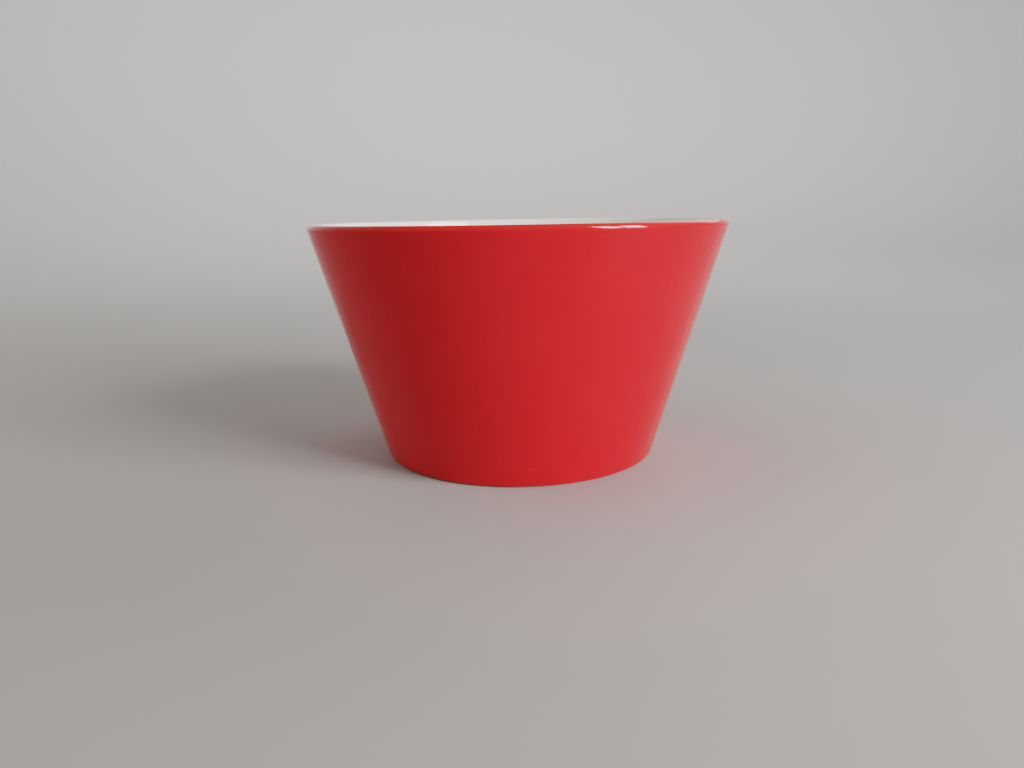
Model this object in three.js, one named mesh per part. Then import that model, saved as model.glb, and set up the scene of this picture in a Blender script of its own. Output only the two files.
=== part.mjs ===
// A bone china bowl: one fired body of china under three coats of glaze.
// The outside is red and the inside is white. The wall is a straight, flared cone that hides the foot ring.
// Lengths are in millimetres, +Z is up, and the origin is the middle of the foot, on the table.
import * as THREE from "three";

// The outside
const RIM_DIAMETER = 140;
const HEIGHT = 79;
const FOOT_DIAMETER = 94.5; // where the straight line of the wall would reach the table
const LIP_OUTER_RADIUS = 1.4;
const LIP_INNER_RADIUS = 1.2;

// The inside
const WALL_AT_LIP = 3; // square to the outside, glaze to glaze
const WALL_AT_FLOOR = 3.7;
const LARGEST_LIP_SHARE = 0.48; // of the wall, so that a thin lip keeps a flat between its rounded edges
const FLOOR_THICKNESS = 4.4; // glaze to glaze
const WELL_CORNER_RADIUS = 10; // wide enough for a spoon

// The foot ring and the hollow inside it
const RECESS_DEPTH = 3.2;
const FOOT_FACE_WIDTH = 1.9; // the flat that stands on the table, ground bare
const FOOT_OUTER_EDGE_RADIUS = 1.2;
const FOOT_INNER_EDGE_RADIUS = 1;
const FOOT_FLANK_ANGLE = THREE.MathUtils.degToRad(20); // the ring's inner side, from upright
const RECESS_CORNER_RADIUS = 2;

// The glazes
const GLAZE_THICKNESS = 0.25;
const BARE_EDGE_ANGLE = THREE.MathUtils.degToRad(40); // how much of each edge of the foot stays bare

// How finely the round shapes are cut
const SEGMENTS = 72;
const EDGE_STEP = THREE.MathUtils.degToRad(25); // at most, along each small rounded edge
const WELL_STEP = THREE.MathUtils.degToRad(12.5); // at most, along the well's wide corner

const china = new THREE.MeshStandardMaterial({ color: 0xece5da, roughness: 0.75, metalness: 0 });
const redGlaze = new THREE.MeshStandardMaterial({ color: 0xc41722, roughness: 0.12, metalness: 0 });
const whiteGlaze = new THREE.MeshStandardMaterial({ color: 0xf3f0ea, roughness: 0.1, metalness: 0 });
const clearGlaze = new THREE.MeshStandardMaterial({ color: 0xeee9df, roughness: 0.15, metalness: 0 });

// The section is drawn in Vector2 points: x is the distance from the axis, y is the height.
const at = (radius, height) => new THREE.Vector2(radius, height);
const heading = (angle) => at(Math.cos(angle), Math.sin(angle));

// A straight stretch of the section, as a point on it and the direction in which it is followed
const line = (point, direction) => ({ point, direction });

// The same line moved square to itself, to its right where the distance is positive
function moved({ point, direction }, distance) {
  const right = at(direction.y, -direction.x);
  return line(point.clone().addScaledVector(right, distance), direction);
}

function crossing(a, b) {
  const between = b.point.clone().sub(a.point);
  const reach = between.cross(b.direction) / a.direction.cross(b.direction);
  return a.point.clone().addScaledVector(a.direction, reach);
}

// The arc that rounds the corner where line a turns into line b
function rounding(a, b, radius) {
  const corner = crossing(a, b);
  const back = a.direction.clone().negate();
  const halfAngle = Math.acos(back.dot(b.direction)) / 2;
  const inward = back.clone().add(b.direction).normalize();
  const centre = corner.clone().addScaledVector(inward, radius / Math.sin(halfAngle));
  const side = Math.sign(b.direction.cross(back)); // 1 where the turn is anticlockwise
  const from = Math.atan2(-side * a.direction.x, side * a.direction.y);
  return { centre, radius, from, turn: side * (Math.PI - 2 * halfAngle) };
}

// The same arc on the china under the glaze. The glaze lies outside a ridge's arc and inside a hollow's.
function underGlaze(arc) {
  return { ...arc, radius: arc.radius - Math.sign(arc.turn) * GLAZE_THICKNESS };
}

// An arc cut in two at an angle from its start
function cutAt(arc, angle) {
  return [
    { ...arc, turn: angle },
    { ...arc, from: arc.from + angle, turn: arc.turn - angle },
  ];
}

// Points along an arc, lifted off it by a height that depends on the share of the way from 0 to 1
function points(arc, largestStep, lift = () => 0) {
  const steps = Math.ceil(Math.abs(arc.turn) / largestStep);
  return Array.from({ length: steps + 1 }, (_, i) => {
    const share = i / steps;
    const reach = arc.radius + lift(share);
    return heading(arc.from + share * arc.turn).multiplyScalar(reach).add(arc.centre);
  });
}

// The lines of the outside, the crest and the inside, followed anticlockwise from the foot
const largestLipRadius = WALL_AT_LIP * LARGEST_LIP_SHARE;
const lipOuterRadius = Math.min(LIP_OUTER_RADIUS, largestLipRadius);
const lipInnerRadius = Math.min(LIP_INNER_RADIUS, largestLipRadius);
const lipCentre = at(RIM_DIAMETER / 2 - lipOuterRadius, HEIGHT - lipOuterRadius);
const wallFoot = at(FOOT_DIAMETER / 2, 0);
const toLip = lipCentre.clone().sub(wallFoot);
const wallAngle = toLip.angle() - Math.asin(lipOuterRadius / toLip.length());
const outerWall = line(wallFoot, heading(wallAngle));
const crest = line(at(0, HEIGHT), at(-1, 0));
const floorHeight = RECESS_DEPTH + FLOOR_THICKNESS;
const wellFloor = line(at(0, floorHeight), at(-1, 0));
const insideAtLip = crossing(moved(outerWall, -WALL_AT_LIP), crest);
const insideAtFloor = crossing(moved(outerWall, -WALL_AT_FLOOR), wellFloor);
const innerWall = line(insideAtLip, insideAtFloor.clone().sub(insideAtLip).normalize());
const lipInside = rounding(crest, innerWall, lipInnerRadius);
const wellCorner = rounding(innerWall, wellFloor, WELL_CORNER_RADIUS);
const glazesMeetAt = lipInside.centre.x; // red covers the flat of the crest, and white starts inside it

// The foot ring, followed anticlockwise: down its inner side, across its bare face and up into the wall
const footFace = line(at(0, 0), at(1, 0));
const chinaWall = moved(outerWall, -GLAZE_THICKNESS);
const outerEdge = rounding(footFace, chinaWall, FOOT_OUTER_EDGE_RADIUS);
const faceOutside = outerEdge.centre.x;
const faceInside = faceOutside - FOOT_FACE_WIDTH;
const flankDirection = heading(FOOT_FLANK_ANGLE - Math.PI / 2);
const innerEdgeCentre = at(faceInside, FOOT_INNER_EDGE_RADIUS);
const chinaFlank = moved(line(innerEdgeCentre, flankDirection), FOOT_INNER_EDGE_RADIUS);
const innerEdge = rounding(chinaFlank, footFace, FOOT_INNER_EDGE_RADIUS);
const recessCeiling = line(at(0, RECESS_DEPTH), at(1, 0));
const recessCorner = rounding(recessCeiling, moved(chinaFlank, GLAZE_THICKNESS), RECESS_CORNER_RADIUS);

// The glaze stops part of the way round each edge of the foot and thins out towards its end.
const [bareOuterEdge, glazedOuterEdge] = cutAt(outerEdge, BARE_EDGE_ANGLE);
const [glazedInnerEdge, bareInnerEdge] = cutAt(innerEdge, innerEdge.turn - BARE_EDGE_ANGLE);
const thickening = (share) => GLAZE_THICKNESS * Math.sin((share * Math.PI) / 2);
const thinning = (share) => thickening(1 - share);

// The lip's outer edge: the end of the wall, then a quarter circle from the rim's widest point to the crest
function lipEdge(radius) {
  const endOfWall = heading(wallAngle - Math.PI / 2).multiplyScalar(radius).add(lipCentre);
  const quarter = { centre: lipCentre, radius, from: 0, turn: Math.PI / 2 };
  return [endOfWall, ...points(quarter, EDGE_STEP)];
}

// The paths where china and glaze meet. Both sides use the same points, so they lie face to face.
const underRed = [
  ...points(glazedOuterEdge, EDGE_STEP),
  ...lipEdge(lipOuterRadius - GLAZE_THICKNESS),
  at(glazesMeetAt, HEIGHT - GLAZE_THICKNESS),
];
const underWhite = [
  ...points(underGlaze(lipInside), EDGE_STEP),
  ...points(underGlaze(wellCorner), WELL_STEP),
  at(0, floorHeight - GLAZE_THICKNESS),
];
const underClear = [
  at(0, RECESS_DEPTH + GLAZE_THICKNESS),
  ...points(underGlaze(recessCorner), EDGE_STEP),
  ...points(glazedInnerEdge, EDGE_STEP),
];

// Turns a section about the upright axis. It is followed anticlockwise, with the solid on its left.
function turned(name, section, material) {
  const geometry = new THREE.LatheGeometry(section, SEGMENTS).rotateX(Math.PI / 2);
  const mesh = new THREE.Mesh(geometry, material);
  mesh.name = name;
  return mesh;
}

// A coat follows the china backwards. Mirrored, it still has its facets cut along the same diagonals.
function coat(name, section, material) {
  const mesh = turned(name, section, material);
  mesh.scale.x = -1;
  return mesh;
}

// The fired body: wall, floor and foot ring in one piece, bare only where the foot stands on the table
function chinaBody() {
  const bareFoot = [
    ...points(bareInnerEdge, EDGE_STEP).slice(1),
    ...points(bareOuterEdge, EDGE_STEP).slice(0, -1),
  ];
  const section = [...underClear, ...bareFoot, ...underRed, ...underWhite.slice(1)];
  return turned("china_body", section, china);
}

// The red coat, which thins out round the foot's outer edge and ends on the crest of the lip
function redOuterGlaze() {
  const surface = [
    ...points(glazedOuterEdge, EDGE_STEP, thickening),
    ...lipEdge(lipOuterRadius),
    at(glazesMeetAt, HEIGHT),
  ];
  return coat("red_outer_glaze", [...surface, ...underRed.toReversed()], redGlaze);
}

// The white coat, from the crest of the lip down the wall and over the floor
function whiteInnerGlaze() {
  const surface = [
    ...points(lipInside, EDGE_STEP),
    ...points(wellCorner, WELL_STEP),
    at(0, floorHeight),
  ];
  return coat("white_inner_glaze", [...underWhite.toReversed(), ...surface], whiteGlaze);
}

// The clear coat on the underside, which thins out round the foot's inner edge
function undersideGlaze() {
  const surface = [
    at(0, RECESS_DEPTH),
    ...points(recessCorner, EDGE_STEP),
    ...points(glazedInnerEdge, EDGE_STEP, thinning),
  ];
  return coat("underside_glaze", [...surface, ...underClear.slice(0, -1).toReversed()], clearGlaze);
}

const bowl = new THREE.Group();
bowl.name = "bone_china_bowl";
bowl.add(chinaBody(), redOuterGlaze(), whiteInnerGlaze(), undersideGlaze());

export default bowl;
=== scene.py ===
# A bone china bowl on a pale table: a body of fired china, glazed red outside, white inside, clear below.
# Lengths are in metres and +Z is up. The bowl stands on z = 0, turned about the Z axis.
from math import asin, atan2, cos, pi, radians, sin, tan

import bmesh
import bpy
from mathutils import Matrix, Vector


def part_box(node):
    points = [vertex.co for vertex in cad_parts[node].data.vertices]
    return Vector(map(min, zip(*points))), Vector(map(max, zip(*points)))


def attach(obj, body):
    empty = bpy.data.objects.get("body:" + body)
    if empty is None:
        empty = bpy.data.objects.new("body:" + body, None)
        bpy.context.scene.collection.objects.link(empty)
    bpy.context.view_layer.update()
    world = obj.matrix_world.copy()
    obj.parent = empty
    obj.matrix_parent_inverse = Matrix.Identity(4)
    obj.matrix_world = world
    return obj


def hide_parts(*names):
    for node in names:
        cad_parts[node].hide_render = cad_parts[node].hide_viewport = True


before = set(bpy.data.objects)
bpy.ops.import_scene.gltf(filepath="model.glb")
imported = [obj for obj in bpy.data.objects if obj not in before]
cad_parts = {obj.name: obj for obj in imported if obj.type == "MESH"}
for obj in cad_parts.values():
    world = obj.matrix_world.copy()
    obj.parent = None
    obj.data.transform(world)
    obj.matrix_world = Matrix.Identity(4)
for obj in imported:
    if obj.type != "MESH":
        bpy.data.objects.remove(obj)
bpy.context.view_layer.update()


# The china body is clay and bone ash, jiggered in one piece with its wall, floor and foot ring, and fired
# white. The glazes are fused to it nearly all over. It shows only on the foot ring, which was kept free of
# glaze so as not to stick to the kiln shelf, and then ground level on a wheel.
MM = 0.001
rim_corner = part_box("red_outer_glaze")[1]
RIM_RADIUS = rim_corner.x
HEIGHT = rim_corner.z
FOOT_RADIUS = 47.25 * MM  # where the straight line of the outside would reach the table
LIP_OUTER_RADIUS = 1.4 * MM
LIP_INNER_RADIUS = 1.2 * MM
WALL_AT_LIP = 3 * MM  # square to the outside, glaze to glaze
WALL_AT_FLOOR = 3.7 * MM
FLOOR_HEIGHT = 7.6 * MM  # up to the face of the white glaze
WELL_CORNER_RADIUS = 10 * MM
RECESS_DEPTH = 3.2 * MM  # up to the face of the clear glaze
RECESS_CORNER_RADIUS = 2 * MM
FOOT_FACE_WIDTH = 1.9 * MM
FOOT_OUTER_EDGE_RADIUS = 1.2 * MM
FOOT_INNER_EDGE_RADIUS = 1 * MM
FOOT_FLANK_ANGLE = radians(20)  # the inner side of the foot ring, from upright
GLAZE_THICKNESS = 0.25 * MM

to_lip = Vector((RIM_RADIUS - LIP_OUTER_RADIUS - FOOT_RADIUS, HEIGHT - LIP_OUTER_RADIUS))
wall_angle = atan2(to_lip.y, to_lip.x) - asin(LIP_OUTER_RADIUS / to_lip.length)


def outside(height, depth):
    """The point at a height on the line that runs along the outside of the bowl at a depth within it."""
    return Vector((FOOT_RADIUS + height / tan(wall_angle) - depth / sin(wall_angle), height))


inside_top = outside(HEIGHT, WALL_AT_LIP)
inside_bottom = outside(FLOOR_HEIGHT, WALL_AT_FLOOR)
inside_angle = atan2(inside_top.y - inside_bottom.y, inside_top.x - inside_bottom.x)


def inside(height):
    """The point at a height on the line of the china under the white glaze."""
    run = (height - FLOOR_HEIGHT) / tan(inside_angle)
    return Vector((inside_bottom.x + run + GLAZE_THICKNESS / sin(inside_angle), height))


def rounding(before, corner, after, radius):
    """The arc that rounds a corner between two straight stretches: centre, radius, first angle and turn."""
    back = (before - corner).normalized()
    onward = (after - corner).normalized()
    half = back.angle(onward) / 2
    centre = corner + (back + onward).normalized() * radius / sin(half)
    first = corner + back * radius / tan(half) - centre
    side = 1 if onward.cross(back) > 0 else -1
    return centre, radius, atan2(first.y, first.x), side * (pi - 2 * half)


# The corners of the fired china in section: distance from the axis and height
crest = HEIGHT - GLAZE_THICKNESS
ceiling = RECESS_DEPTH + GLAZE_THICKNESS
bed = FLOOR_HEIGHT - GLAZE_THICKNESS
foot_outside = outside(0, GLAZE_THICKNESS)
foot_outer_reach = FOOT_OUTER_EDGE_RADIUS / tan((pi - wall_angle) / 2)
foot_inner_reach = FOOT_INNER_EDGE_RADIUS / tan((pi / 2 + FOOT_FLANK_ANGLE) / 2)
foot_inside = Vector((foot_outside.x - foot_outer_reach - FOOT_FACE_WIDTH - foot_inner_reach, 0))
recess_edge = Vector((foot_inside.x - ceiling * tan(FOOT_FLANK_ANGLE), ceiling))
lip_outside = outside(crest, GLAZE_THICKNESS)
lip_inside = inside(crest)
well_edge = inside(bed)
recess_middle = Vector((0, ceiling))
well_middle = Vector((0, bed))

recess_corner = rounding(recess_middle, recess_edge, foot_inside, RECESS_CORNER_RADIUS + GLAZE_THICKNESS)
inner_edge = rounding(recess_edge, foot_inside, foot_outside, FOOT_INNER_EDGE_RADIUS)
outer_edge = rounding(foot_inside, foot_outside, lip_outside, FOOT_OUTER_EDGE_RADIUS)
outer_lip = rounding(foot_outside, lip_outside, lip_inside, LIP_OUTER_RADIUS - GLAZE_THICKNESS)
inner_lip = rounding(lip_outside, lip_inside, well_edge, LIP_INNER_RADIUS - GLAZE_THICKNESS)
well_corner = rounding(lip_inside, well_edge, well_middle, WELL_CORNER_RADIUS + GLAZE_THICKNESS)


def covered(share):
    """The glaze at its full thickness, wherever along an arc."""
    return GLAZE_THICKNESS


def bare(share):
    """No glaze, wherever along an arc."""
    return 0


def thickening(share):
    """The glaze at a share of the way along an arc, as it grows from nothing to its full thickness."""
    return GLAZE_THICKNESS * sin(share * pi / 2)


def thinning(share):
    """The glaze at a share of the way along an arc, as it thins out to nothing."""
    return thickening(1 - share)


def bend(arc, steps, first=0, last=1, glaze=covered):
    """Spots along a share of an arc. A spot is a point of the china, the way out of it and its glaze."""
    centre, radius, start, turn = arc
    spots = []
    for i in range(steps + 1):
        share = i / steps
        angle = start + turn * (first + share * (last - first))
        ray = Vector((cos(angle), sin(angle)))
        spots.append((centre + ray * radius, ray if turn > 0 else -ray, glaze(share)))
    return spots


SUPPORT = 0.25 * MM  # rings this close to the bends at its ends keep a straight stretch flat
SHORT_STRETCH = 4 * SUPPORT  # it needs no rings up to this length
MIDDLE_RINGS = (0.35, 0.65)  # two more rings, as shares of the stretch


def follow(*stretches):
    """The spots of the stretches in turn, joined by straight lines with a ring close to each end."""
    spots = list(stretches[0])
    for stretch in stretches[1:]:
        start, way_out, glaze = spots[-1]
        end = stretch[0][0]
        length = (end - start).length
        if length > SHORT_STRETCH:
            for share in (SUPPORT / length, *MIDDLE_RINGS, 1 - SUPPORT / length):
                spots.append((start.lerp(end, share), way_out, glaze))
        spots.extend(stretch)
    return spots


BARE_EDGE_ANGLE = radians(40)  # how much of each edge of the foot ring stays bare
BARE_EDGE_WANDER = radians(7)  # how far the ends of the glaze stray from that
MEETING_INSET = 0.25 * MM  # how far outside the lip's inner rounding the red glaze ends
MEETING_WANDER = 0.12 * MM
WAVES = ((0.5, 3, 1), (0.3, 7, 2.3), (0.2, 17, 4.1))  # strength, number round the bowl, share of the phase
INNER_EDGE_PHASE = 1
OUTER_EDGE_PHASE = 2
MEETING_PHASE = 5


def wander(azimuth, phase):
    """A slow stray between -1 and 1 that closes on itself round the bowl."""
    return sum(strength * sin(count * azimuth + shift * phase) for strength, count, shift in WAVES)


def bare_share(arc, azimuth, phase):
    """How much of an edge of the foot ring is bare at an azimuth."""
    turn = arc[3]
    return (BARE_EDGE_ANGLE + BARE_EDGE_WANDER * wander(azimuth, phase)) / abs(turn)


def meeting(azimuth):
    """The spot on the crest of the lip where red glaze ends and white begins."""
    radius = inner_lip[0].x + MEETING_INSET + MEETING_WANDER * wander(azimuth, MEETING_PHASE)
    return [(Vector((radius, crest)), Vector((0, 1)), GLAZE_THICKNESS)]


# How many steps cut each rounding
RECESS_CORNER_STEPS = 12
INNER_EDGE_STEPS = 8
OUTER_EDGE_STEPS = 10
BARE_EDGE_STEPS = 6
OUTER_LIP_STEPS = 18
INNER_LIP_STEPS = 14
WELL_CORNER_STEPS = 28


def under_clear(azimuth):
    """From the middle of the recess to where the clear glaze ends on the foot ring."""
    middle = [(recess_middle, Vector((0, -1)), GLAZE_THICKNESS)]
    corner = bend(recess_corner, RECESS_CORNER_STEPS)
    end = 1 - bare_share(inner_edge, azimuth, INNER_EDGE_PHASE)
    return follow(middle, corner, bend(inner_edge, INNER_EDGE_STEPS, 0, end, thinning))


def bare_foot(azimuth):
    """Across the ground face of the foot ring, with the bare part of each edge."""
    start = 1 - bare_share(inner_edge, azimuth, INNER_EDGE_PHASE)
    end = bare_share(outer_edge, azimuth, OUTER_EDGE_PHASE)
    inner = bend(inner_edge, BARE_EDGE_STEPS, start, 1, bare)
    return follow(inner, bend(outer_edge, BARE_EDGE_STEPS, 0, end, bare))


def under_red(azimuth):
    """From where the red glaze ends on the foot ring, up the outside and over the lip."""
    start = bare_share(outer_edge, azimuth, OUTER_EDGE_PHASE)
    foot = bend(outer_edge, OUTER_EDGE_STEPS, start, 1, thickening)
    return follow(foot, bend(outer_lip, OUTER_LIP_STEPS), meeting(azimuth))


def under_white(azimuth):
    """From the crest of the lip down the inside to the middle of the floor."""
    lip = bend(inner_lip, INNER_LIP_STEPS)
    corner = bend(well_corner, WELL_CORNER_STEPS)
    middle = [(well_middle, Vector((0, 1)), GLAZE_THICKNESS)]
    return follow(meeting(azimuth), lip, corner, middle)


def china_section(azimuth):
    """All the way round the fired china, from the middle of the recess to the middle of the floor."""
    spots = (
        under_clear(azimuth)
        + bare_foot(azimuth)[1:-1]
        + under_red(azimuth)
        + under_white(azimuth)[1:]
    )
    return [point for point, way_out, glaze in spots]


SEGMENTS = 288  # round the bowl
CRISP_EDGE = radians(35)  # edges that bend more than this aren't smoothed


def turned(name, section, segments=SEGMENTS, closed=True):
    """Carries a section, drawn anew for each azimuth, round the axis. A closed one makes a solid."""
    shape = bmesh.new()
    columns = []
    middles = {}  # the points on the axis, which all columns share
    for i in range(segments):
        azimuth = 2 * pi * i / segments
        column = []
        for j, (radius, height) in enumerate(section(azimuth)):
            if radius > 0:
                place = (radius * cos(azimuth), radius * sin(azimuth), height)
                column.append(shape.verts.new(place))
            else:
                if j not in middles:
                    middles[j] = shape.verts.new((0, 0, height))
                column.append(middles[j])
        columns.append(column)
    for i, column in enumerate(columns):
        other = columns[(i + 1) % segments]
        for j in range(len(column) if closed else len(column) - 1):
            k = (j + 1) % len(column)
            corners = dict.fromkeys((column[j], other[j], other[k], column[k]))  # each only once
            if len(corners) > 2:
                shape.faces.new(corners)
    bmesh.ops.recalc_face_normals(shape, faces=shape.faces)
    mesh = bpy.data.meshes.new(name)
    shape.to_mesh(mesh)
    shape.free()
    mesh.shade_smooth()
    mesh.set_sharp_from_angle(angle=CRISP_EDGE)
    piece = bpy.data.objects.new(name, mesh)
    bpy.context.scene.collection.objects.link(piece)
    return piece


class Finish:
    """A material built from nodes, with its principled shader and its place on the bowl."""

    def __init__(self, name):
        self.material = bpy.data.materials.new(name)
        self.material.use_nodes = True
        self.tree = self.material.node_tree
        self.shader = self.tree.nodes["Principled BSDF"]
        self.place = self.add("TexCoord").outputs["Object"]

    def add(self, kind, inputs=None, **options):
        """Adds a node. An input is another node's output, which is linked, or a plain value."""
        node = self.tree.nodes.new("ShaderNode" + kind)
        for name, value in options.items():
            setattr(node, name, value)
        for name, value in (inputs or {}).items():
            self.feed(node.inputs[name], value)
        return node

    def feed(self, socket, value):
        """Links another node's output to a socket, or sets the socket to a plain value."""
        if isinstance(value, bpy.types.NodeSocket):
            self.tree.links.new(value, socket)
        else:
            socket.default_value = value

    def set(self, **values):
        """Feeds the shader. A name is the shader's own with its spaces as underscores."""
        for name, value in values.items():
            self.feed(self.shader.inputs[name.replace("_", " ")], value)

    def sums(self, operation, *values):
        """Arithmetic on numbers, each another node's output or a plain value."""
        return self.add("Math", dict(enumerate(values)), operation=operation).outputs[0]

    def cloud(self, grain, detail=2.0, place=None):
        """Soft noise from 0 to 1, whose grain is about as wide as the given length."""
        inputs = {"Vector": place or self.place, "Scale": 1 / grain, "Detail": detail}
        return self.add("TexNoise", inputs).outputs["Fac"]

    def ramp(self, value, span, result=(0.0, 1.0)):
        """Goes smoothly from one end of the result to the other while the value crosses the span."""
        inputs = {
            "Value": value,
            "From Min": span[0],
            "From Max": span[1],
            "To Min": result[0],
            "To Max": result[1],
        }
        return self.add("MapRange", inputs, interpolation_type="SMOOTHSTEP").outputs[0]

    def blend(self, share, colour, other):
        """One colour going over into another. Each is a colour or another node's output."""
        # The node's sockets for numbers and for colours share their names, so they go by their places.
        return self.add("Mix", {0: share, 6: colour, 7: other}, data_type="RGBA").outputs[2]

    def relief(self, height, depth, under=None):
        """A bump whose height from 0 to 1 is worth a depth, on top of another bump."""
        inputs = {"Height": height, "Distance": depth, "Strength": 1.0}
        if under:
            inputs["Normal"] = under
        return self.add("Bump", inputs).outputs[0]

    def length(self, vector):
        """How long a vector is."""
        return self.add("VectorMath", {0: vector}, operation="LENGTH").outputs["Value"]

    def height(self):
        """How high a spot is above the table."""
        return self.add("SeparateXYZ", {0: self.place}).outputs["Z"]

    def off_axis(self):
        """A spot's place with its height left out."""
        return self.add("VectorMath", {0: self.place, 1: (1, 1, 0)}, operation="MULTIPLY").outputs[0]

    def from_axis(self):
        """How far a spot is from the bowl's axis."""
        return self.length(self.off_axis())

    def rings(self, stretch):
        """A place for noise that is drawn out round the axis, by the given factor near the foot ring."""
        heading = self.add("VectorMath", {0: self.off_axis()}, operation="NORMALIZE").outputs[0]
        pace = {0: heading, "Scale": FOOT_RADIUS / stretch}
        around = self.add("VectorMath", pace, operation="SCALE").outputs[0]
        outward = self.add("CombineXYZ", {2: self.from_axis()}).outputs[0]
        return self.add("VectorMath", {0: around, 1: outward}, operation="ADD").outputs[0]


def dress(piece, node, finish):
    """Gives a piece its finish and its place on the frame."""
    piece.data.materials.append(finish.material)
    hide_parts(node)
    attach(piece, "root")


MOST_OF_NOISE = (0.3, 0.7)  # the values that nearly all of a cloud lies between
CHINA = (0.72, 0.66, 0.57, 1)
RUBBED_CHINA = (0.42, 0.39, 0.34, 1)
CHINA_ROUGHNESS = (0.85, 0.6)  # untouched and scuffed
TOOTH_GRAIN = 0.2 * MM  # of the bare china, which is like fine sandpaper
TOOTH_DEPTH = 0.01 * MM
SCUFF_GRAIN = 0.3 * MM
SCUFF_STRETCH = 25  # how many times longer than wide a scuff is, round the axis
SCUFF_SPAN = (0.48, 0.72)  # the values of their cloud over which scuffs turn dark
SCUFF_DEPTH = 0.01 * MM
PATCH_GRAIN = 4 * MM
PATCH_STRENGTH = (0.15, 0.8)  # how strongly the least and the most scuffed patches show it

china = Finish("ground_china")
scuffs = china.cloud(SCUFF_GRAIN, detail=4, place=china.rings(SCUFF_STRETCH))
patches = china.cloud(PATCH_GRAIN)
scuffed = china.ramp(scuffs, SCUFF_SPAN)
rubbed = china.sums("MULTIPLY", scuffed, china.ramp(patches, MOST_OF_NOISE, PATCH_STRENGTH))
tooth = china.relief(china.cloud(TOOTH_GRAIN), TOOTH_DEPTH)
china.set(
    Base_Color=china.blend(rubbed, CHINA, RUBBED_CHINA),
    Roughness=china.ramp(scuffs, MOST_OF_NOISE, CHINA_ROUGHNESS),
    Normal=china.relief(scuffs, SCUFF_DEPTH, tooth),
)
dress(turned("fired_china_body", china_section), "china_body", china)


# The red glaze is a coloured glass, sprayed over the outside and melted on. It runs from the foot ring's
# outer edge over the crest of the lip, where it lies thinner and glossier, and the white china warms its
# colour. The lip's band is also painted lighter, a painted sheen for the light that its rounding catches.
# A few grains of kiln dust and faint scratches mark the wall.
RED = (0.721, 0.0235, 0.0262, 1)
DEEP_RED = (0.667, 0.0188, 0.0225, 1)
# Thin red is lighter and more orange: thin glaze at the foot, and at the lip thin glaze and a painted sheen
THIN_GLAZE_AND_SHEEN_RED = (0.76, 0.042, 0.032, 1)
PALE_MARK = (0.84, 0.13, 0.12, 1)
LIP_BAND = (HEIGHT - 1.7 * MM, HEIGHT - 0.34 * MM)  # the heights over which the coat grows thin and its painted sheen comes up
LIP_THINNESS_AND_SHEEN = (0.0, 0.85)  # at those heights, where 1 is the colour of thin red with its painted sheen
FOOT_BAND = (0.14 * MM, 0.7 * MM)  # the heights over which it comes to its full thickness
FOOT_THINNESS = (0.6, 0.0)
GLOSSY_BAND = (HEIGHT - 1.5 * MM, HEIGHT - 1.05 * MM)  # the heights over which the lip's gloss sets in
LIP_GLOSS = (0.0, 0.5)
MIDDLE_OF_NOISE = (0.35, 0.65)  # a narrower span, for plainer patches
MOTTLE_GRAIN = 1.3 * MM
MOTTLE_SHARE = 0.35  # how far the mottle goes from red to deep red
DRIFT_GRAIN = 22 * MM
DRIFT_SHARE = 0.4
RED_ROUGHNESS = (0.04, 0.08)
RED_POLISH_GRAIN = 3 * MM
LIP_ROUGHNESS = 0.06
GLASS_IOR = 1.5
RED_IOR = 1.32  # lower, because a white studio has more to mirror than a room
PEEL_GRAIN = 7 * MM
PEEL_DEPTH = 0.004 * MM
FINE_PEEL_GRAIN = 0.8 * MM
FINE_PEEL_DEPTH = 0.0006 * MM
MARK_SHARE = 0.5  # how far a mark goes towards its pale colour
MARK_HEIGHT = 0.02 * MM
MARK_FADE = (0.4, 1)  # from this share of a mark's half width to its rim
MARK_REACH = 1 * MM  # either way from the face of the wall
WALL_MARKS = (  # degrees from the front, then height, length and width in millimetres, and slope in degrees
    (35.3, 15.2, 0.3, 0.5, 0),
    (3.7, 6.6, 3.4, 0.35, 15),
    (-18.3, 26.9, 0.3, 0.3, 0),
    (-21.3, 24.3, 0.5, 0.25, 40),
    (-55.4, 72.7, 0.35, 0.25, 0),
    (104, 41, 5, 0.2, -8),
    (151, 22, 0.3, 0.4, 0),
    (-163, 58, 7, 0.2, 21),
    (-118, 33, 0.4, 0.3, 0),
)


def mark(finish, azimuth, height, length, width, slope):
    """1 on a small mark on the outside of the wall, 0 off it. Its azimuth grows to the bowl's right."""
    reach = outside(height, 0).x
    inputs = {
        "Vector": finish.place,
        "Location": (reach * sin(azimuth), -reach * cos(azimuth), height),
        "Rotation": (0, -slope, azimuth),
        "Scale": (length / 2, MARK_REACH, width / 2),
    }
    spread = finish.add("Mapping", inputs, vector_type="TEXTURE").outputs[0]
    return finish.ramp(finish.length(spread), MARK_FADE, (1.0, 0.0))


def coat_section(spots):
    """A coat in section: its face, and the china under it. Where it thins to nothing the two meet."""
    face = [point + way_out * glaze for point, way_out, glaze in spots]
    back = [point for point, way_out, glaze in reversed(spots) if glaze > 0]
    return face + back


red = Finish("red_glaze")
mottle = red.ramp(red.cloud(MOTTLE_GRAIN, detail=3), MOST_OF_NOISE)
drift = red.ramp(red.cloud(DRIFT_GRAIN), MIDDLE_OF_NOISE)
depth = red.sums("MULTIPLY_ADD", mottle, MOTTLE_SHARE, red.sums("MULTIPLY", drift, DRIFT_SHARE))
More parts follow.
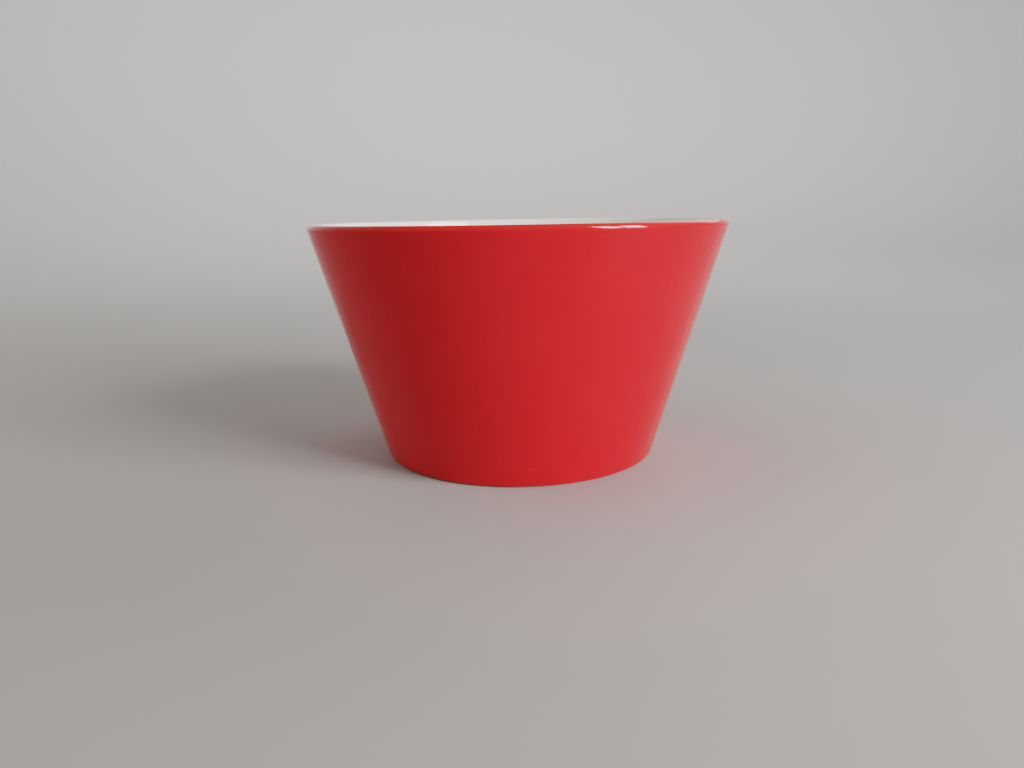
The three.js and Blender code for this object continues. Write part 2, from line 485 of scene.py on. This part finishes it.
# The lip is painted lighter and more orange: partly thin glaze over white china, partly a painted sheen
thin_and_sheen_at_lip = red.ramp(red.height(), LIP_BAND, LIP_THINNESS_AND_SHEEN)
thin_at_foot = red.ramp(red.height(), FOOT_BAND, FOOT_THINNESS)
thin_and_sheen = red.sums("MAXIMUM", thin_and_sheen_at_lip, thin_at_foot)
coat_red_and_sheen = red.blend(thin_and_sheen, red.blend(depth, RED, DEEP_RED), THIN_GLAZE_AND_SHEEN_RED)
marked = 0.0
for azimuth, height, length, width, slope in WALL_MARKS:
    here = mark(red, radians(azimuth), height * MM, length * MM, width * MM, radians(slope))
    marked = red.sums("MAXIMUM", marked, here)
orange_peel = red.relief(red.cloud(PEEL_GRAIN, detail=1), PEEL_DEPTH)
fine_peel = red.relief(red.cloud(FINE_PEEL_GRAIN), FINE_PEEL_DEPTH, orange_peel)
red.set(
    Base_Color=red.blend(red.sums("MULTIPLY", marked, MARK_SHARE), coat_red_and_sheen, PALE_MARK),
    Roughness=red.ramp(red.cloud(RED_POLISH_GRAIN, detail=3), MOST_OF_NOISE, RED_ROUGHNESS),
    Normal=red.relief(marked, MARK_HEIGHT, fine_peel),
    IOR=RED_IOR,
    Coat_Weight=red.ramp(red.height(), GLOSSY_BAND, LIP_GLOSS),
    Coat_Roughness=LIP_ROUGHNESS,
    Coat_IOR=GLASS_IOR,
)
red_coat = turned("red_glaze_outside", lambda azimuth: coat_section(under_red(azimuth)))
dress(red_coat, "red_outer_glaze", red)


# The white glaze is an opaque, glossy coat poured over the inside, from the crest of the lip down the wall
# and over the floor. Spoons have left faint grey arcs on the floor and low on the wall.
WHITE = (0.91, 0.895, 0.87, 1)
WARM_WHITE = (0.88, 0.86, 0.825, 1)
SPOON_GREY = (0.52, 0.51, 0.50, 1)
TINT_GRAIN = 18 * MM
ARC_GRAIN = 0.5 * MM
ARC_STRETCH = 30
ARC_SPAN = (0.6, 0.72)  # the values of their cloud over which the arcs come up
ARC_HEIGHTS = (FLOOR_HEIGHT, FLOOR_HEIGHT + 22 * MM)  # they fade out over these
ARC_STRENGTH = (0.45, 0.0)
ARC_ROUGHNESS = 0.5  # what an arc at its full strength would add
WHITE_ROUGHNESS = (0.06, 0.11)
WHITE_POLISH_GRAIN = 4 * MM
WHITE_SWELL_GRAIN = 9 * MM
WHITE_SWELL_DEPTH = 0.006 * MM

white = Finish("white_glaze")
tint = white.ramp(white.cloud(TINT_GRAIN), MIDDLE_OF_NOISE)
arcs = white.cloud(ARC_GRAIN, detail=4, place=white.rings(ARC_STRETCH))
low = white.ramp(white.height(), ARC_HEIGHTS, ARC_STRENGTH)
scraped = white.sums("MULTIPLY", white.ramp(arcs, ARC_SPAN), low)
polish = white.ramp(white.cloud(WHITE_POLISH_GRAIN, detail=3), MOST_OF_NOISE, WHITE_ROUGHNESS)
white.set(
    Base_Color=white.blend(scraped, white.blend(tint, WHITE, WARM_WHITE), SPOON_GREY),
    Roughness=white.sums("MULTIPLY_ADD", scraped, ARC_ROUGHNESS, polish),
    Normal=white.relief(white.cloud(WHITE_SWELL_GRAIN, detail=1), WHITE_SWELL_DEPTH),
    IOR=GLASS_IOR,
)
white_coat = turned("white_glaze_inside", lambda azimuth: coat_section(under_white(azimuth)))
dress(white_coat, "white_inner_glaze", white)


# The clear glaze under the bowl seals the hollow inside the foot ring. The ivory of the china shows through
# it, with the fine rings that turning left in the clay.
IVORY = (0.76, 0.72, 0.64, 1)
SHADED_IVORY = (0.68, 0.63, 0.55, 1)
TURNING_GRAIN = 1.4 * MM
TURNING_STRETCH = 120
TURNING_SHARE = 0.6  # how far the rings go from ivory to shaded ivory
TURNING_DEPTH = 0.015 * MM
SHADE_GRAIN = 15 * MM
SHADE_SHARE = (0.0, 0.4)
CLEAR_ROUGHNESS = (0.12, 0.22)
CLEAR_POLISH_GRAIN = 2 * MM
CLEAR_SWELL_GRAIN = 5 * MM
CLEAR_SWELL_DEPTH = 0.008 * MM

clear = Finish("clear_glaze")
turning = clear.cloud(TURNING_GRAIN, place=clear.rings(TURNING_STRETCH))
ringed = clear.ramp(turning, MIDDLE_OF_NOISE)
clouded = clear.ramp(clear.cloud(SHADE_GRAIN), MOST_OF_NOISE, SHADE_SHARE)
shade = clear.sums("MULTIPLY_ADD", ringed, TURNING_SHARE, clouded)
swell = clear.relief(clear.cloud(CLEAR_SWELL_GRAIN, detail=1), CLEAR_SWELL_DEPTH)
clear.set(
    Base_Color=clear.blend(shade, IVORY, SHADED_IVORY),
    Roughness=clear.ramp(clear.cloud(CLEAR_POLISH_GRAIN, detail=3), MOST_OF_NOISE, CLEAR_ROUGHNESS),
    Normal=clear.relief(turning, TURNING_DEPTH, swell),
    IOR=GLASS_IOR,
)
clear_coat = turned("clear_glaze_underneath", lambda azimuth: coat_section(under_clear(azimuth)))
dress(clear_coat, "underside_glaze", clear)


# The bowl stands on a round studio table, painted a matt pale grey. Far off it sweeps up on all sides into
# a white wall, with no corner to be seen.
TABLE_RADIUS = 0.6
INNER_RADII = (0, 0.1, 0.2)  # rings that cut the flat of the table more finely under the bowl
SWEEP_RADIUS = 0.9
SWEEP_TOP = 1.6
SWEEP_STEPS = 24
SWEEP_SEGMENTS = 96
TABLE_GREY = (0.435, 0.426, 0.42, 1)
SWEEP_WHITE = (0.90, 0.89, 0.875, 1)
WHITENING = (0.15, TABLE_RADIUS + SWEEP_RADIUS)  # distances from the axis over which grey turns to white
TABLE_ROUGHNESS = 0.65
TABLE_IOR = 1.25


def sweep(azimuth):
    """The flat of the table and its edge, which curves up into an upright wall, alike on all sides."""
    outline = [(radius, 0) for radius in INNER_RADII]
    for i in range(SWEEP_STEPS + 1):
        angle = i / SWEEP_STEPS * pi / 2
        outline.append((TABLE_RADIUS + SWEEP_RADIUS * sin(angle), SWEEP_RADIUS * (1 - cos(angle))))
    outline.append((TABLE_RADIUS + SWEEP_RADIUS, SWEEP_TOP))
    return outline


table = turned("pale_table", sweep, SWEEP_SEGMENTS, closed=False)
paint = Finish("pale_paint")
far_off = paint.ramp(paint.from_axis(), WHITENING)
paint.set(
    Base_Color=paint.blend(far_off, TABLE_GREY, SWEEP_WHITE),
    Roughness=TABLE_ROUGHNESS,
    IOR=TABLE_IOR,
)
table.data.materials.append(paint.material)


# The light comes from two softboxes side by side, low in front on the bowl's right, with weaker ones behind
# it, on its left and above it, and from a lamp turned to the backdrop. Grids narrow the softboxes' light.
FRONT_RIGHT = (52, 23)  # azimuth from the front towards the bowl's right and elevation, in degrees
BEHIND = (140, 38)
LEFT = (-80, 30)
OVERHEAD = (-100, 66)
SOFTBOX_DISTANCE = 0.8
SOFTBOX_GAP = 0.04  # between the two in front
NEAR_SIZE = (0.135, 0.5)  # width and height
FAR_SIZE = (0.165, 0.5)
BACK_SIZE = (0.5, 0.5)
SIDE_SIZE = (0.6, 0.6)
OVERHEAD_SIZE = (0.6, 0.6)
BACKDROP_SIZE = (1.0, 0.3)
BACKDROP_LAMP_PLACE = (0, 0.45, 0.8)
BACKDROP_LAMP_TILT = radians(60)  # from straight down towards the back
FRONT_LIGHT = (18.7, 18.7, 18.6)  # the brightness of a panel's face in red, green and blue
BACK_LIGHT = (1.25, 1.25, 1.25)
SIDE_LIGHT = (1.1, 0.98, 0.9)
OVERHEAD_LIGHT = (0.85, 0.84, 0.83)
BACKDROP_LIGHT = (4.9, 4.88, 4.84)
STUDIO_GLOW = (0.036, 0.033, 0.03, 1)
GRID = radians(140)  # how widely light leaves a softbox through its grid
NO_GRID = pi


def panel(name, radiance, size, place, spread=GRID, mirrored=True):
    """A panel of light. The camera never sees it, and glossy surfaces only where it is mirrored."""
    width, height = size
    brightest = max(radiance)
    kept = 1 - spread / 2 / tan(spread / 2)  # the share of the light that passes the grid
    light = bpy.data.lights.new(name, "AREA")
    light.shape = "RECTANGLE"
    light.size = width
    light.size_y = height
    light.color = [part / brightest for part in radiance]
    light.spread = spread
    light.energy = brightest * pi * width * height * kept
    lamp = bpy.data.objects.new(name, light)
    lamp.visible_camera = False
    lamp.visible_glossy = mirrored
    lamp.matrix_world = place
    bpy.context.scene.collection.objects.link(lamp)


def facing_the_bowl(azimuth, elevation, aside=0):
    """A softbox's place, which looks at the foot of the bowl and may be moved aside to its own right."""
    turn = Matrix.Rotation(radians(azimuth), 4, "Z") @ Matrix.Rotation(pi / 2 - radians(elevation), 4, "X")
    return turn @ Matrix.Translation((aside, 0, SOFTBOX_DISTANCE))


near_aside = -(SOFTBOX_GAP + NEAR_SIZE[0]) / 2
far_aside = (SOFTBOX_GAP + FAR_SIZE[0]) / 2
above_the_back = Matrix.Translation(BACKDROP_LAMP_PLACE) @ Matrix.Rotation(BACKDROP_LAMP_TILT, 4, "X")
panel("near_softbox", FRONT_LIGHT, NEAR_SIZE, facing_the_bowl(*FRONT_RIGHT, near_aside))
panel("far_softbox", FRONT_LIGHT, FAR_SIZE, facing_the_bowl(*FRONT_RIGHT, far_aside))
panel("back_softbox", BACK_LIGHT, BACK_SIZE, facing_the_bowl(*BEHIND))
panel("side_softbox", SIDE_LIGHT, SIDE_SIZE, facing_the_bowl(*LEFT), mirrored=False)
panel("overhead_softbox", OVERHEAD_LIGHT, OVERHEAD_SIZE, facing_the_bowl(*OVERHEAD), mirrored=False)
panel("backdrop_lamp", BACKDROP_LIGHT, BACKDROP_SIZE, above_the_back, spread=NO_GRID, mirrored=False)

studio = bpy.data.worlds.new("studio")
studio.use_nodes = True
studio.node_tree.nodes["Background"].inputs["Color"].default_value = STUDIO_GLOW
bpy.context.scene.world = studio


# The camera stands close in front of the bowl, just above its rim, and is tipped down and slightly askew.
# The picture is toned like film, with some more contrast.
CAMERA_DISTANCE = 264.2 * MM
CAMERA_HEIGHT = 82.4 * MM
CAMERA_PITCH = radians(12.93)
CAMERA_YAW = radians(-0.585)
CAMERA_ROLL = radians(-0.95)
NEAREST_SEEN = 10 * MM
PICTURE_WIDTH = 1024  # pixels
FOCAL_PIXELS = 753.8
SENSOR_WIDTH = 36  # millimetres, in which Blender counts focal lengths

eye = bpy.data.cameras.new("camera")
eye.sensor_width = SENSOR_WIDTH
eye.lens = SENSOR_WIDTH * FOCAL_PIXELS / PICTURE_WIDTH
eye.clip_start = NEAREST_SEEN
camera = bpy.data.objects.new("camera", eye)
camera.matrix_world = (
    Matrix.Translation((0, -CAMERA_DISTANCE, CAMERA_HEIGHT))
    @ Matrix.Rotation(-CAMERA_YAW, 4, "Z")
    @ Matrix.Rotation(pi / 2 - CAMERA_PITCH, 4, "X")
    @ Matrix.Rotation(CAMERA_ROLL, 4, "Z")
)
bpy.context.scene.collection.objects.link(camera)
bpy.context.scene.camera = camera
bpy.context.scene.view_settings.view_transform = "Filmic"
bpy.context.scene.view_settings.look = "Medium High Contrast"
